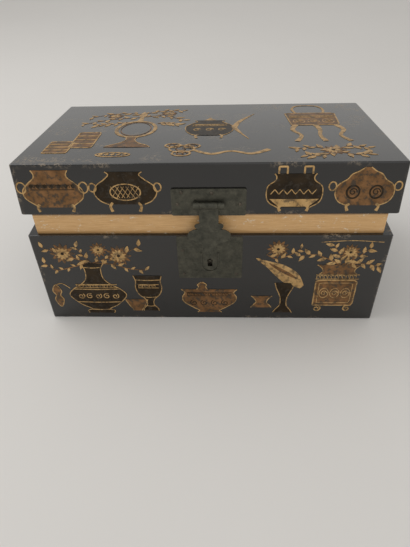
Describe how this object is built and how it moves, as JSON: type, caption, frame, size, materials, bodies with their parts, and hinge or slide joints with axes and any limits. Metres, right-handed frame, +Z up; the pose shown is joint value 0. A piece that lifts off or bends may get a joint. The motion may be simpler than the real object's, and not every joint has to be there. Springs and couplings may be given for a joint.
{
  "type": "lacquer box",
  "caption": "Black lacquered wooden box with gilt ornament, a rear-hinged lid standing ajar, a tan inner lip and a front hasp lock.",
  "frame": {"origin": "centre of the underside of the case", "axes": "+X to the right seen from the front, the front faces -Y, +Z up"},
  "size_m": [0.38, 0.2359, 0.1987],
  "materials": {
    "lacquer": "polished",
    "tan_lining": "satin",
    "tarnished_brass": "satin",
    "dark_iron": "matte"
  },
  "bodies": {
    "case": {"case_bottom": "lacquer", "case_front": "lacquer", "case_back": "lacquer", "case_left_end": "lacquer", "case_right_end": "lacquer", "lip_front": "tan_lining", "lip_back": "tan_lining", "lip_left": "tan_lining", "lip_right": "tan_lining", "floor_lining": "tan_lining", "lower_lock_plate": "tarnished_brass", "lower_plate_nail_1": "dark_iron", "lower_plate_nail_2": "dark_iron", "lower_plate_nail_3": "dark_iron", "keyhole_guard": "tarnished_brass", "lock_case": "dark_iron", "key_pin": "tarnished_brass", "left_hinge_case_leaf": "tarnished_brass", "left_hinge_pin": "dark_iron", "left_case_leaf_nail_1": "dark_iron", "left_case_leaf_nail_2": "dark_iron", "right_hinge_case_leaf": "tarnished_brass", "right_hinge_pin": "dark_iron", "right_case_leaf_nail_1": "dark_iron", "right_case_leaf_nail_2": "dark_iron"},
    "lid": {"lid_top": "lacquer", "lid_front": "lacquer", "lid_back": "lacquer", "lid_left_end": "lacquer", "lid_right_end": "lacquer", "left_hinge_lid_leaf": "tarnished_brass", "left_lid_leaf_nail_1": "dark_iron", "left_lid_leaf_nail_2": "dark_iron", "right_hinge_lid_leaf": "tarnished_brass", "right_lid_leaf_nail_1": "dark_iron", "right_lid_leaf_nail_2": "dark_iron", "upper_lock_plate": "tarnished_brass", "upper_plate_nail_1": "dark_iron", "upper_plate_nail_2": "dark_iron", "upper_plate_nail_3": "dark_iron", "upper_plate_nail_4": "dark_iron", "hasp_pin": "dark_iron"},
    "hasp": {"hasp": "tarnished_brass", "catch_stud": "dark_iron"},
    "latch": {"latch_bolt": "dark_iron"}
  },
  "joints": [
    {"name": "lid_hinge", "type": "hinge", "parent": "case", "child": "lid", "pos_m": [0, 0.11225, 0.12025], "axis": [-1, 0, 0], "range_deg": [-6.43, 88.57]},
    {"name": "hasp_hinge", "type": "hinge", "parent": "lid", "child": "hasp", "pos_m": [0.00175, -0.1125, 0.15836], "axis": [-1, 0, 0], "range_deg": [-4, 150]},
    {"name": "latch_slide", "type": "slide", "parent": "case", "child": "latch", "axis": [1, 0, 0], "range_m": [0, 0.004]}
  ]
}
